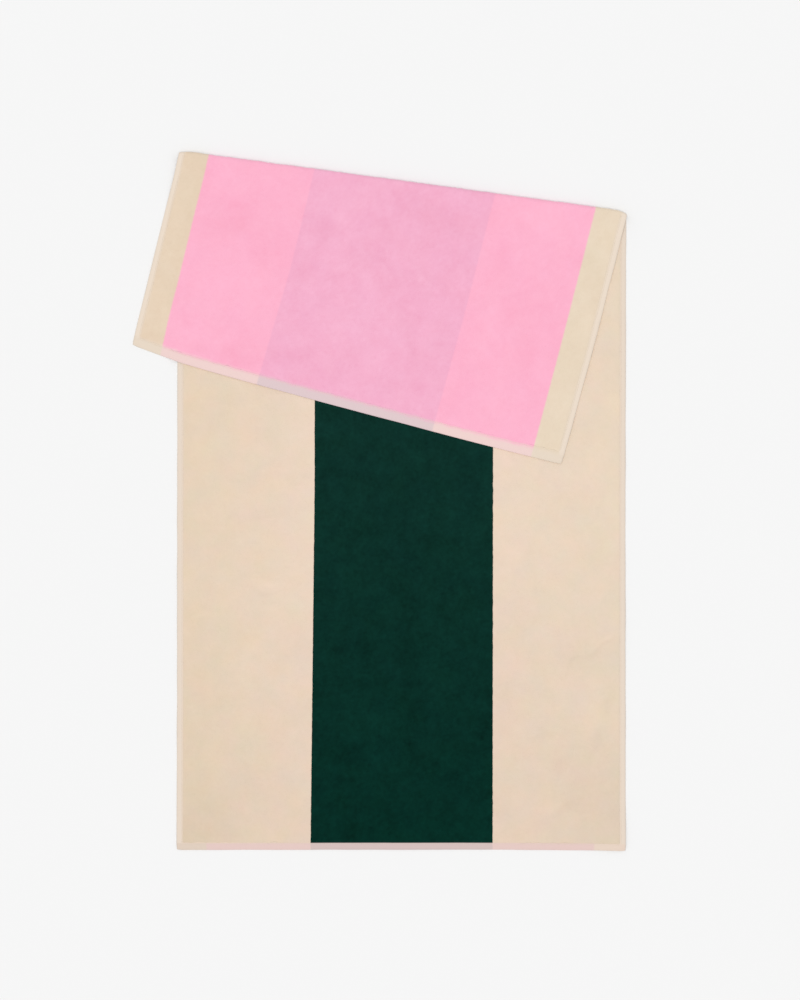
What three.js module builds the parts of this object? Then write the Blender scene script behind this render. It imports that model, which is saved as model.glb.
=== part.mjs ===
// A bath towel of cotton terry, 700 by 1400 mm, lying on a flat surface.
// Its far end is folded over towards the near end, on a slant, so that the reverse of the cloth shows there.
// The cloth is one closed solid. Its middle surface runs up the lower panel, round the bend and back down the
// flap, and the two faces stand half a thickness off that surface and meet in a rounded rim.
// Millimetres, Z up. The origin is at the middle of the footprint, on the surface that the towel lies on.

import * as THREE from 'three';
import { mergeGeometries, mergeVertices } from 'three/addons/utils/BufferGeometryUtils.js';

// The cloth
const CLOTH_WIDTH = 700;
const PILE_THICK = 3.0;
const HEM_THICK = 2.2;
const SIDE_HEM = 8.5;
const NEAR_HEM = 10.5;
const FAR_HEM = 15.5; // at the flap's end
const HEM_STEP = 2.5; // how wide the slope is from the thin hem up to the pile
const RIM_STEP = 0.3; // the first column or row in from the rim

// How it lies. The lower panel runs up from the near hem, and the flap runs back from the fold.
const PANEL_LENGTH = { left: 1088.7, right: 995.6 };
const FLAP_LENGTH = { left: 311, right: 408.8 };
const FLAP_LEAN_DEG = { left: 13.2, right: 14.5 }; // the flap's sides against the panel's
const FOLD_SHIFT = { left: 3, right: 1.6 }; // how far right of the near corners the fold's ends lie

// The fold is fuller than the layers behind it
const FOLD_RADIUS = 3.2; // of the cloth's middle surface
const FOLD_EASE = 36; // where the flap is down on the layer below
const LAYER_GAP = 0.5;

// The flap hangs past the panel's left side and drops to the floor there
const DROP_CLEAR = 2;
const DROP_WIDTH = 20;

// The corners are drawn in a little by their stitching
const CORNER_REACH = 9;
const CORNER_PULL = 0.8;

// Outlines that aren't straight: how far each stands out from its straight line, across the cloth
const NEAR_HEM_BOW = [
  { across: 0, out: 0 },
  { across: 560, out: 0 },
  { across: 640, out: 0.9 },
  { across: 700, out: 2 },
];
const FOLD_BOW = [
  { across: 0, out: -1.4 },
  { across: 34, out: 1.2 },
  { across: 70, out: 0.1 },
  { across: 350, out: 0 },
  { across: 640, out: 0.2 },
  { across: 678, out: 0.6 },
  { across: 690, out: -0.6 },
  { across: 700, out: -4.5 },
];
const END_HEM_BOW = [
  { across: 0, out: 0.5 },
  { across: 45, out: 4 },
  { across: 85, out: 7 },
  { across: 165, out: 7.8 },
  { across: 300, out: 7.2 },
  { across: 450, out: 5.2 },
  { across: 585, out: 3.3 },
  { across: 700, out: 0 },
];
const PANEL_RIGHT_BOW = -1.2; // the panel's right side, drawn in at its middle
const FLAP_LEFT_BOW = 1; // the flap's left side, in over its first half and out over its second
const FLAP_RIGHT_BOW = 2; // the flap's right side, out at its middle

// Where the lower panel stands off the floor: a centre, the half sizes of an ellipse, its turn and its rise
const LIFTS = [
  { x: 690, y: 10, long: 90, wide: 60, turnDeg: 35, rise: 2.4 },
  { x: 655, y: 305, long: 120, wide: 60, turnDeg: 32, rise: 1.3 },
  { x: 640, y: 95, long: 95, wide: 55, turnDeg: 60, rise: 1.1 },
  { x: 60, y: 415, long: 110, wide: 60, turnDeg: 8, rise: 1.2 },
];

// The grid
const DROP_COLUMNS = 7; // in the stretch that crosses the panel's left side
const DROP_REACH = 88;
const FIELD_COLUMNS = 11;
const PANEL_ROWS = 16;
const BEND_ROWS = 8;
const EASE_ROWS = 4;
const FLAP_ROWS = 8;

const TERRY_CREAM = 0xe3cdb6;

const turned = THREE.MathUtils.degToRad;
const blend = THREE.MathUtils.lerp;
const smooth = (x) => THREE.MathUtils.smoothstep(x, 0, 1);
const shares = (count, low, high) =>
  Array.from({ length: count }, (_, i) => blend(low, high, i / (count - 1)));

// A smooth curve through a table's points, by cubics whose slopes are the mean slopes at each point.
function bow(table, across) {
  const slope = (i) => {
    const low = table[Math.max(i - 1, 0)];
    const high = table[Math.min(i + 1, table.length - 1)];
    return (high.out - low.out) / (high.across - low.across);
  };
  const next = table.findIndex((point) => point.across >= across);
  const i = Math.max(next, 1) - 1;
  const span = table[i + 1].across - table[i].across;
  const t = (across - table[i].across) / span;
  const rise = smooth(t);
  return blend(table[i].out, table[i + 1].out, rise)
    + span * t * (1 - t) * ((1 - t) * slope(i) - t * slope(i + 1));
}

// The fold's ends and the flap's end corners in plan, from the lengths and leans.
const outlineRadius = FOLD_RADIUS + PILE_THICK / 2;
const foldEnds = {
  left: new THREE.Vector2(FOLD_SHIFT.left, PANEL_LENGTH.left),
  right: new THREE.Vector2(CLOTH_WIDTH + FOLD_SHIFT.right, PANEL_LENGTH.right),
};
const foldOutward = foldEnds.right.clone().sub(foldEnds.left).rotateAround(new THREE.Vector2(), Math.PI / 2);
foldOutward.normalize();
const flapCorner = (side) => {
  const lean = turned(FLAP_LEAN_DEG[side]);
  const reach = new THREE.Vector2(-Math.sin(lean), -Math.cos(lean)).multiplyScalar(FLAP_LENGTH[side]);
  return foldEnds[side].clone().add(reach);
};
const flapEnds = { left: flapCorner('left'), right: flapCorner('right') };
const hemOutward = flapEnds.left.clone().sub(flapEnds.right).rotateAround(new THREE.Vector2(), Math.PI / 2);
hemOutward.normalize();

// The axis of the bend, in plan, at a share of the width. It lies one outer radius inside the fold's outline.
function foldAxis(share) {
  const inset = bow(FOLD_BOW, share * CLOTH_WIDTH) - outlineRadius;
  return foldEnds.left.clone().lerp(foldEnds.right, share).addScaledVector(foldOutward, inset);
}

// The near hem's line and the flap's end hem, in plan, at a share of the width.
function nearHem(share) {
  return new THREE.Vector2(share * CLOTH_WIDTH, -bow(NEAR_HEM_BOW, share * CLOTH_WIDTH));
}

function endHem(share) {
  const out = bow(END_HEM_BOW, share * CLOTH_WIDTH);
  return flapEnds.left.clone().lerp(flapEnds.right, share).addScaledVector(hemOutward, out);
}

// The panel's left side at a height up the plan, which the flap drops past.
const panelLeft = (y) => FOLD_SHIFT.left * y / PANEL_LENGTH.left;

function lift(x, y) {
  let rise = 0;
  for (const hump of LIFTS) {
    const place = new THREE.Vector2(x - hump.x, y - hump.y);
    place.rotateAround(new THREE.Vector2(), -turned(hump.turnDeg));
    const away = Math.hypot(place.x / hump.long, place.y / hump.wide);
    rise += hump.rise * smooth(1 - Math.min(away, 1));
  }
  return rise;
}

// How high the flap's underside is: full at the fold, then on the layer below, then down on the floor.
function flapHeight(place, fromFold) {
  const resting = PILE_THICK + LAYER_GAP;
  const full = blend(2 * FOLD_RADIUS, resting, smooth(Math.min(fromFold / FOLD_EASE, 1)));
  const past = (panelLeft(place.y) - DROP_CLEAR - place.x) / DROP_WIDTH;
  return full * (1 - smooth(THREE.MathUtils.clamp(past, 0, 1)));
}

// The cloth's thickness from the distances to its nearest side and end. The rim is a half ellipse.
function thickness(fromSide, fromEnd, endHem) {
  const onPile = Math.min(fromSide - SIDE_HEM, fromEnd - endHem) / HEM_STEP;
  const inside = Math.min(fromSide, fromEnd) / (HEM_THICK / 2);
  if (inside < 1) {
    return HEM_THICK * Math.sqrt(1 - (1 - inside) ** 2);
  }
  return blend(HEM_THICK, PILE_THICK, THREE.MathUtils.clamp(onPile, 0, 1));
}

// The columns run across the cloth, and each is a distance from its left side.
const rim = [0, RIM_STEP, HEM_THICK / 2];
const sideSteps = [...rim, SIDE_HEM, SIDE_HEM + HEM_STEP];
const farSide = sideSteps.map((step) => CLOTH_WIDTH - step).reverse();
const dropColumns = shares(DROP_COLUMNS + 1, SIDE_HEM + HEM_STEP, DROP_REACH).slice(1);
const fieldColumns = shares(FIELD_COLUMNS + 1, DROP_REACH, farSide[0]).slice(1, -1);
const columns = [...sideSteps, ...dropColumns, ...fieldColumns, ...farSide];

// The rows run along it: up the panel, round the bend and down the flap. A share is of that stretch's length.
const meanPanel = (PANEL_LENGTH.left + PANEL_LENGTH.right) / 2 - outlineRadius;
const meanFlap = (FLAP_LENGTH.left + FLAP_LENGTH.right) / 2 - outlineRadius;
const nearSteps = [...rim, NEAR_HEM, NEAR_HEM + HEM_STEP];
const panelSteps = shares(PANEL_ROWS + 1, NEAR_HEM + HEM_STEP, meanPanel).slice(1, -1);
const easeSteps = shares(EASE_ROWS + 1, 0, FOLD_EASE);
const flapSteps = shares(FLAP_ROWS + 1, FOLD_EASE, meanFlap - FAR_HEM - HEM_STEP).slice(1, -1);
const farSteps = [...rim, FAR_HEM, FAR_HEM + HEM_STEP].map((step) => meanFlap - step).reverse();
const onStretch = (stretch, steps, length) => steps.map((step) => ({ stretch, share: step / length }));
const rows = [
  ...onStretch('panel', [...nearSteps, ...panelSteps], meanPanel),
  ...onStretch('bend', shares(BEND_ROWS + 1, 0, 1).slice(0, -1), 1),
  ...onStretch('flap', [...easeSteps, ...flapSteps, ...farSteps], meanFlap),
];

// The cloth's middle surface at a column and a row, with the thickness there.
function middle(across, row) {
  const share = across / CLOTH_WIDTH;
  const fromSide = Math.min(across, CLOTH_WIDTH - across);
  const axis = foldAxis(share);
  if (row.stretch === 'bend') {
    const thick = thickness(fromSide, Infinity, 0);
    const angle = row.share * Math.PI;
    const place = axis.addScaledVector(foldOutward, FOLD_RADIUS * Math.sin(angle));
    const height = thick / 2 + FOLD_RADIUS * (1 - Math.cos(angle));
    return { place, height, thick };
  }

  const onPanel = row.stretch === 'panel';
  const length = onPanel ? meanPanel : meanFlap;
  const fromEnd = (onPanel ? row.share : 1 - row.share) * length;
  const thick = thickness(fromSide, fromEnd, onPanel ? NEAR_HEM : FAR_HEM);
  const place = onPanel ? nearHem(share).lerp(axis, row.share) : axis.clone().lerp(endHem(share), row.share);
  if (onPanel) {
    place.x += PANEL_RIGHT_BOW * share * 4 * row.share * (1 - row.share);
  } else {
    place.x += FLAP_LEFT_BOW * (1 - share) * Math.sin(2 * Math.PI * row.share);
    place.x += FLAP_RIGHT_BOW * share * Math.sin(Math.PI * row.share);
  }

  const nearness = (distance) => Math.max(1 - distance / CORNER_REACH, 0);
  const pull = CORNER_PULL * nearness(fromSide) * nearness(fromEnd);
  place.x += share < 0.5 ? pull : -pull;
  place.y += pull;
  const height = onPanel ? lift(place.x, place.y) : flapHeight(place, row.share * length);
  return { place, height: height + thick / 2, thick };
}

// One face of the cloth on the grid. The diagonals run so that no triangle has all its corners on the rim.
function face(grid, side) {
  const positions = [];
  const index = [];
  grid.points.forEach((point, i) => {
    const reach = side * grid.thick[i] / 2;
    positions.push(...point.clone().addScaledVector(grid.normals[i], reach).toArray());
  });
  const wide = columns.length;
  for (let j = 0; j < rows.length - 1; j += 1) {
    for (let i = 0; i < wide - 1; i += 1) {
      const corners = [j * wide + i, j * wide + i + 1, (j + 1) * wide + i + 1, (j + 1) * wide + i];
      const nearLeft = i < wide / 2;
      const nearEnd = j < rows.length / 2;
      const [a, b, c, d] = nearLeft === nearEnd ? corners : [...corners.slice(1), corners[0]];
      index.push(...(side > 0 ? [a, b, c, a, c, d] : [a, c, b, a, d, c]));
    }
  }
  const geometry = new THREE.BufferGeometry();
  geometry.setAttribute('position', new THREE.Float32BufferAttribute(positions, 3));
  geometry.setIndex(index);
  return geometry;
}

function towelCloth() {
  const grid = { points: [], thick: [], normals: [] };
  for (const row of rows) {
    for (const across of columns) {
      const { place, height, thick } = middle(across, row);
      grid.points.push(new THREE.Vector3(place.x, place.y, height));
      grid.thick.push(thick);
    }
  }

  // The middle surface's own normals, which point up on the panel and down on the flap
  const wide = columns.length;
  const at = (i, j) => grid.points[Math.min(Math.max(j, 0), rows.length - 1) * wide
    + Math.min(Math.max(i, 0), wide - 1)];
  for (let j = 0; j < rows.length; j += 1) {
    for (let i = 0; i < wide; i += 1) {
      const acrossWay = at(i + 1, j).clone().sub(at(i - 1, j));
      const alongWay = at(i, j + 1).clone().sub(at(i, j - 1));
      grid.normals.push(acrossWay.cross(alongWay).normalize());
    }
  }

  const closed = mergeVertices(mergeGeometries([face(grid, 1), face(grid, -1)]));
  closed.computeBoundingBox();
  const footprint = closed.boundingBox.getCenter(new THREE.Vector3());
  closed.translate(-footprint.x, -footprint.y, -closed.boundingBox.min.z);
  const material = new THREE.MeshStandardMaterial({ color: TERRY_CREAM, roughness: 0.95, metalness: 0 });
  const mesh = new THREE.Mesh(closed, material);
  mesh.name = 'towel_cloth';
  return mesh;
}

const towel = new THREE.Group();
towel.add(towelCloth());

export default towel;
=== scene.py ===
import math

import bpy
import numpy as np
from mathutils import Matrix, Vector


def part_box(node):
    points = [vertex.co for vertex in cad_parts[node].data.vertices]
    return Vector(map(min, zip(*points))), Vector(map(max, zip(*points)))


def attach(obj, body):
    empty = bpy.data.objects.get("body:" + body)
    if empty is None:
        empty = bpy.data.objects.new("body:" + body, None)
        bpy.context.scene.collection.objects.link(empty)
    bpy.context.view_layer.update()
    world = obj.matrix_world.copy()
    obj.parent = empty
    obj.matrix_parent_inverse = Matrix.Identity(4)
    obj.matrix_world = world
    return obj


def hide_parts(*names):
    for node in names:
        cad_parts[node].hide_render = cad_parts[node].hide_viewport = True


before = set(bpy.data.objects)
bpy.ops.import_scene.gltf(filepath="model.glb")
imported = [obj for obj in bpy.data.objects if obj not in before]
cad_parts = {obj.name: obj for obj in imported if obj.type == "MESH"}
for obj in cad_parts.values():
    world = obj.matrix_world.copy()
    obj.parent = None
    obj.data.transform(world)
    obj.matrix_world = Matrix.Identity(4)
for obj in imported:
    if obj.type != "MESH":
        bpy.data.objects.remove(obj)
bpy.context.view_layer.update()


# The camera
# It hangs straight above the towel and looks down on it, from far enough off for the sides to stay parallel.
PHOTO_WIDTH, PHOTO_HEIGHT = 800, 1000
METRES_PER_PIXEL = 0.001556
TOWEL_MIDDLE_PIXEL = (379.9, 501.2)
LENS_MM, LONG_SENSOR_MM = 100, 36

camera_data = bpy.data.cameras.new("camera")
camera_data.lens = LENS_MM
camera_data.sensor_width = LONG_SENSOR_MM
camera_data.clip_end = 50
camera = bpy.data.objects.new("camera", camera_data)
camera.location = (
    (PHOTO_WIDTH / 2 - TOWEL_MIDDLE_PIXEL[0]) * METRES_PER_PIXEL,
    (TOWEL_MIDDLE_PIXEL[1] - PHOTO_HEIGHT / 2) * METRES_PER_PIXEL,
    PHOTO_HEIGHT * METRES_PER_PIXEL * LENS_MM / LONG_SENSOR_MM,
)
bpy.context.scene.collection.objects.link(camera)
bpy.context.scene.camera = camera


# The studio
# A matt white painted board lies under the towel, in an even white room. A wide lamp far overhead, a little
# to the lower left of the picture, gives the light its direction.
FLOOR_HALF = 9
FLOOR_WHITE, ROOM_WHITE = "#e9e9e9", "#d9d9d9"
ROLLER_GRAIN, ROLLER_RISE = 1 / 60, 0.001
LAMP_STRENGTH, LAMP_WIDTH = 1.40, math.radians(38)
LAMP_TILT, LAMP_TURN = math.radians(8), math.radians(-30)


def linear(hex_colour):
    """An sRGB hex colour as linear red, green, blue and alpha."""
    parts = [int(hex_colour[i:i + 2], 16) / 255 for i in (1, 3, 5)]
    return [p / 12.92 if p <= 0.04045 else ((p + 0.055) / 1.055) ** 2.4 for p in parts] + [1]


def add(tree, kind, inputs, output=0, **settings):
    """Adds a node with its settings, and gives its sockets their values or the outputs that feed them.

    Gives back one of the node's own outputs, by its place or its name.
    """
    made = tree.nodes.new(kind)
    for key, value in settings.items():
        setattr(made, key, value)
    for key, value in inputs.items():
        if isinstance(value, bpy.types.NodeSocket):
            tree.links.new(value, made.inputs[key])
        else:
            made.inputs[key].default_value = value
    return made.outputs[output]


def painted_board():
    """Matt emulsion on board: no gloss, and a very faint unevenness of the roller."""
    material = bpy.data.materials.new("matt painted board")
    material.use_nodes = True
    tree = material.node_tree
    shader = tree.nodes["Principled BSDF"]
    shader.inputs["Base Color"].default_value = linear(FLOOR_WHITE)
    shader.inputs["Roughness"].default_value = 0.95
    shader.inputs["Specular IOR Level"].default_value = 0.1
    place = add(tree, "ShaderNodeTexCoord", {}, "Object")
    grain = add(tree, "ShaderNodeTexNoise", {"Vector": place, "Scale": 1 / ROLLER_GRAIN})
    bump = add(tree, "ShaderNodeBump", {"Height": grain, "Strength": 0.02, "Distance": ROLLER_RISE})
    tree.links.new(bump, shader.inputs["Normal"])
    return material


floor_mesh = bpy.data.meshes.new("floor")
floor_mesh.from_pydata(
    [(x * FLOOR_HALF, y * FLOOR_HALF, 0) for x, y in ((-1, -1), (1, -1), (1, 1), (-1, 1))],
    [],
    [(0, 1, 2, 3)],
)
floor_mesh.materials.append(painted_board())
floor = bpy.data.objects.new("floor", floor_mesh)
bpy.context.scene.collection.objects.link(floor)

world = bpy.data.worlds.new("even room")
world.use_nodes = True
world.node_tree.nodes["Background"].inputs["Color"].default_value = linear(ROOM_WHITE)
bpy.context.scene.world = world
bpy.context.scene.view_settings.view_transform = "Standard"

lamp_data = bpy.data.lights.new("overhead lamp", "SUN")
lamp_data.energy = LAMP_STRENGTH
lamp_data.angle = LAMP_WIDTH
lamp = bpy.data.objects.new("overhead lamp", lamp_data)
lamp.rotation_euler = (LAMP_TILT, 0, LAMP_TURN)
bpy.context.scene.collection.objects.link(lamp)


# The cloth
# One length of cotton terry, 70 by 140 cm, its four sides turned in to thin flat hems. It lies with its far
# end folded over on a slant, so its reverse shows there. All lengths are in metres from its near left corner.
CLOTH_WIDTH, CLOTH_LENGTH = 0.700, 1.400
PILE_THICK, HEM_THICK = 0.0030, 0.0022
SIDE_HEM, NEAR_HEM, FAR_HEM, HEM_STEP = 0.0085, 0.0105, 0.0155, 0.0025

# How it lies: the lower panel, the flap over it, and how far right of the near corners the fold's ends are
PANEL_LENGTH_LEFT, PANEL_LENGTH_RIGHT = 1.0887, 0.9956
FLAP_LENGTH_LEFT, FLAP_LENGTH_RIGHT = 0.3110, 0.4088
FLAP_LEAN_LEFT, FLAP_LEAN_RIGHT = math.radians(13.2), math.radians(14.5)
FOLD_SHIFT_LEFT, FOLD_SHIFT_RIGHT = 0.003, 0.0016

# The full bend eases down to the layer below, and past the panel's left side the flap drops to the floor
FOLD_RADIUS, FOLD_EASE, LAYER_GAP = 0.0032, 0.036, 0.0005
DROP_CLEAR, DROP_WIDTH = 0.002, 0.020
LOOPS_STICK_OUT = 0.0008
OUTLINE_RADIUS = FOLD_RADIUS + PILE_THICK / 2
MEAN_PANEL = (PANEL_LENGTH_LEFT + PANEL_LENGTH_RIGHT) / 2 - OUTLINE_RADIUS
MEAN_FLAP = (FLAP_LENGTH_LEFT + FLAP_LENGTH_RIGHT) / 2 - OUTLINE_RADIUS

# The stitching draws the corners in a little
CORNER_REACH, CORNER_PULL = 0.009, 0.0008

# How far each end's outline stands out from its straight line: across the cloth, out
NEAR_HEM_BOW = [
    (0, -0.0001), (0.100, 0), (0.200, -0.0003), (0.350, -0.0006), (0.450, -0.0005),
    (0.560, 0), (0.600, 0.0005), (0.660, 0.0008), (0.700, 0.0016),
]
FOLD_BOW = [
    (0, -0.0025), (0.008, -0.0010), (0.018, 0.0002), (0.028, 0.0004), (0.040, -0.0001), (0.070, -0.0004),
    (0.190, -0.0004), (0.350, -0.0006), (0.440, -0.0009), (0.503, -0.0013), (0.570, -0.0011),
    (0.612, -0.0011), (0.645, -0.0015), (0.675, -0.0014), (0.686, -0.0021), (0.693, -0.0032),
    (0.697, -0.0044), (0.700, -0.0064),
]
END_HEM_BOW = [
    (0, 0.0005), (0.045, 0.0040), (0.085, 0.0070), (0.165, 0.0078),
    (0.300, 0.0072), (0.450, 0.0052), (0.585, 0.0033), (0.700, 0),
]

# How far each side stands to the right of its straight line: share of the panel's or flap's length, right
PANEL_LEFT_BOW = [(0, 0.0007), (0.250, 0.0009), (0.500, 0.0006), (0.900, 0.0008), (1, 0.0023)]
PANEL_RIGHT_BOW = [(0, -0.0013), (0.200, -0.0016), (0.450, -0.0018), (0.700, -0.0014), (1, -0.0005)]
FLAP_LEFT_BOW = [
    (0, 0.0023), (0.145, 0.0024), (0.250, 0.0015), (0.400, 0.0011), (0.560, 0.0009),
    (0.670, 0.0006), (0.770, 0), (0.870, -0.0004), (1, -0.0001),
]
FLAP_RIGHT_BOW = [(0, -0.0005), (0.250, 0.0009), (0.500, 0.0015), (0.750, 0.0009), (1, -0.0005)]

# How far in from a side its bow is felt
SIDE_BOW_REACH = 0.120

# Where the lower panel stands off the floor: x, y, half length, half width, turn in degrees, rise
LIFTS = [
    (0.690, 0.010, 0.090, 0.060, 35, 0.0024),
    (0.655, 0.305, 0.120, 0.060, 32, 0.0013),
    (0.640, 0.095, 0.095, 0.055, 60, 0.0011),
    (0.060, 0.415, 0.110, 0.060, 8, 0.0012),
]


def smooth(x):
    """A soft step: three x squared less two x cubed, from 0 to 1."""
    x = np.clip(x, 0, 1)
    return x * x * (3 - 2 * x)


def bow(table, across):
    """A smooth curve through a table's rows: cubics whose slope at a row is the mean of those beside it."""
    at, out = np.array(table).T
    before = np.maximum(np.arange(len(at)) - 1, 0)
    after = np.minimum(np.arange(len(at)) + 1, len(at) - 1)
    slope = (out[after] - out[before]) / (at[after] - at[before])
    across = np.clip(across, at[0], at[-1])
    i = np.clip(np.searchsorted(at, across) - 1, 0, len(at) - 2)
    span = at[i + 1] - at[i]
    t = (across - at[i]) / span
    bend = span * t * (1 - t) * ((1 - t) * slope[i] - t * slope[i + 1])
    return out[i] + (out[i + 1] - out[i]) * smooth(t) + bend


def humps(table, x, y):
    """The sum of soft oval humps. Each falls from its rise at its centre to nothing at its half sizes."""
    total = np.zeros(np.broadcast(x, y).shape)
    for middle_x, middle_y, half_long, half_wide, turn, rise in table:
        turn = math.radians(turn)
        along = (x - middle_x) * math.cos(turn) + (y - middle_y) * math.sin(turn)
        aside = (y - middle_y) * math.cos(turn) - (x - middle_x) * math.sin(turn)
        total += rise * smooth(1 - np.hypot(along / half_long, aside / half_wide))
    return total


def pair(x, y):
    """Two arrays as one array of points in plan."""
    return np.stack(np.broadcast_arrays(x, y), axis=-1).astype(float)


fold_left = np.array([FOLD_SHIFT_LEFT, PANEL_LENGTH_LEFT])
fold_right = np.array([CLOTH_WIDTH + FOLD_SHIFT_RIGHT, PANEL_LENGTH_RIGHT])
flap_left = fold_left - FLAP_LENGTH_LEFT * np.array([math.sin(FLAP_LEAN_LEFT), math.cos(FLAP_LEAN_LEFT)])
flap_right = fold_right - FLAP_LENGTH_RIGHT * np.array([math.sin(FLAP_LEAN_RIGHT), math.cos(FLAP_LEAN_RIGHT)])
fold_outward = np.array([fold_left[1] - fold_right[1], fold_right[0] - fold_left[0]])
fold_outward /= np.linalg.norm(fold_outward)
hem_outward = np.array([flap_right[1] - flap_left[1], flap_left[0] - flap_right[0]])
hem_outward /= np.linalg.norm(hem_outward)


def outlines(across):
    """The near hem, the axis of the bend and the flap's end hem in plan: straight lines with their bows.

    The axis is set in by the radius of the bend, and by the loops that stick out round it.
    """
    share = (across / CLOTH_WIDTH)[..., None]
    near = pair(across, -bow(NEAR_HEM_BOW, across))
    inset = bow(FOLD_BOW, across) - OUTLINE_RADIUS - LOOPS_STICK_OUT
    axis = fold_left + (fold_right - fold_left) * share + inset[..., None] * fold_outward
    end = flap_left + (flap_right - flap_left) * share + bow(END_HEM_BOW, across)[..., None] * hem_outward
    return near, axis, end


def thickness(from_side, from_end, end_hem):
    """The hems' thickness, then a short slope up to the pile's. Their rim is a half ellipse."""
    on_pile = np.minimum(from_side - SIDE_HEM, from_end - end_hem) / HEM_STEP
    inside = np.clip(np.minimum(from_side, from_end) / (HEM_THICK / 2), 0, 1)
    full = HEM_THICK + (PILE_THICK - HEM_THICK) * np.clip(on_pile, 0, 1)
    return np.where(inside < 1, HEM_THICK * np.sqrt(1 - (1 - inside) ** 2), full)


def middle(across, stage):
    """The cloth's middle surface and its thickness, at a distance across the cloth and a stage of its way.

    A stage from 0 to 1 runs up the panel in plan, from 1 to 2 round the bend as a half circle, and from 2 to
    3 down the flap. The flap's height eases from the bend's to the layer below. Past the panel's left side a
    soft step takes it down to the floor.
    """
    across, stage = np.broadcast_arrays(across, stage)
    across, stage = np.clip(across, 0, CLOTH_WIDTH), np.clip(stage, 0, 3)
    share = across / CLOTH_WIDTH
    near, axis, end = outlines(across)
    on_panel, turn, on_flap = np.clip(stage, 0, 1), np.pi * np.clip(stage - 1, 0, 1), np.clip(stage - 2, 0, 1)
    from_side = np.minimum(across, CLOTH_WIDTH - across)
    from_end = np.where(stage < 1.5, on_panel * MEAN_PANEL, (1 - on_flap) * MEAN_FLAP)
    thick = thickness(from_side, from_end, np.where(stage < 1.5, NEAR_HEM, FAR_HEM))

    panel = near + (axis - near) * on_panel[..., None]
    bend = axis + (FOLD_RADIUS * np.sin(turn))[..., None] * fold_outward
    flap = axis + (end - axis) * on_flap[..., None]
    plan = np.where((stage <= 1)[..., None], panel, np.where((stage < 2)[..., None], bend, flap))
    left = np.where(stage < 1, bow(PANEL_LEFT_BOW, on_panel), bow(FLAP_LEFT_BOW, on_flap))
    right = np.where(stage < 1, bow(PANEL_RIGHT_BOW, on_panel), bow(FLAP_RIGHT_BOW, on_flap))
    plan[..., 0] += left * smooth(1 - across / SIDE_BOW_REACH)
    plan[..., 0] += right * smooth(1 - (CLOTH_WIDTH - across) / SIDE_BOW_REACH)
    near_corner = np.clip(1 - from_side / CORNER_REACH, 0, 1) * np.clip(1 - from_end / CORNER_REACH, 0, 1)
    pull = CORNER_PULL * near_corner
    plan[..., 0] += np.where(share < 0.5, pull, -pull)
    plan[..., 1] += pull

    resting = PILE_THICK + LAYER_GAP
    full = 2 * FOLD_RADIUS + (resting - 2 * FOLD_RADIUS) * smooth(on_flap * MEAN_FLAP / FOLD_EASE)
    panel_left = FOLD_SHIFT_LEFT * plan[..., 1] / PANEL_LENGTH_LEFT
    dropped = smooth((panel_left - DROP_CLEAR - plan[..., 0]) / DROP_WIDTH)
    lifted = humps(LIFTS, plan[..., 0], plan[..., 1])
    rising = FOLD_RADIUS * (1 - np.cos(turn))
    under = np.where(stage <= 1, lifted, np.where(stage < 2, rising, full * (1 - dropped)))
    return np.concatenate([plan, (under + thick / 2)[..., None]], axis=-1), thick


def on_face(across, stage, side, off=None):
    """Points of one face of the cloth, the front with side 1 and the reverse with side -1.

    Each stands half the thickness, or the distance given, off the middle surface along its normal, which is
    the cross product of the steps across and along it.
    """
    step_across, step_stage = 0.0004, 0.0006
    points, thick = middle(across, stage)
    ahead = middle(across + step_across, stage)[0] - middle(across - step_across, stage)[0]
    along = middle(across, stage + step_stage)[0] - middle(across, stage - step_stage)[0]
    normal = np.cross(ahead, along)
    normal /= np.linalg.norm(normal, axis=-1, keepdims=True)
    off = thick / 2 if off is None else off
    return points + side * off[..., None] * normal


# Soft creases, dents and raised places of the pile: x, y, half length, half width, turn in degrees, rise
PANEL_CREASES = [
    (0.361, 0.360, 0.370, 0.026, 91.4, -0.0007),
    (0.650, 0.308, 0.062, 0.012, 33, -0.0008),
    (0.640, 0.330, 0.070, 0.016, 33, 0.0005),
    (0.615, 0.283, 0.030, 0.010, 60, -0.0006),
    (0.675, 0.228, 0.040, 0.012, 76, -0.0007),
    (0.569, 0.178, 0.035, 0.011, 4, -0.0006),
    (0.598, 0.130, 0.034, 0.014, 58, -0.0007),
    (0.605, 0.060, 0.060, 0.022, 24, -0.0007),
    (0.655, 0.055, 0.050, 0.026, 70, -0.0006),
    (0.147, 0.416, 0.050, 0.009, -10, 0.0006),
    (0.130, 0.403, 0.055, 0.010, -6, -0.0006),
    (0.150, 0.375, 0.030, 0.014, -14, 0.0005),
    (0.152, 0.586, 0.040, 0.009, -6, 0.0004),
    (0.108, 0.262, 0.038, 0.009, -14, 0.0004),
    (0.040, 0.366, 0.032, 0.010, 10, 0.0005),
    (0.045, 0.060, 0.060, 0.050, 50, -0.0008),
]
FLAP_CREASES = [
    (0.308, 0.932, 0.028, 0.013, -40, -0.0006),
    (0.372, 0.900, 0.055, 0.014, -42, 0.0007),
    (0.362, 0.770, 0.075, 0.013, -76, 0.0006),
    (0.392, 0.760, 0.060, 0.020, -70, -0.0005),
    (0.203, 0.984, 0.020, 0.012, 20, -0.0005),
    (0.395, 1.010, 0.070, 0.016, -8, -0.0006),
    (0.013, 0.885, 0.060, 0.012, 82, 0.0006),
    (0.330, 0.985, 0.050, 0.016, 60, 0.0005),
    (0.250, 0.860, 0.045, 0.018, 15, 0.0004),
    (0.540, 0.830, 0.060, 0.030, 70, 0.0004),
    (0.105, 0.900, 0.055, 0.022, 5, 0.0004),
]
WAVE_COUNT, WAVE_SHORT, WAVE_LONG, WAVE_RISE = 14, 0.055, 0.190, 0.00011
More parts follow.
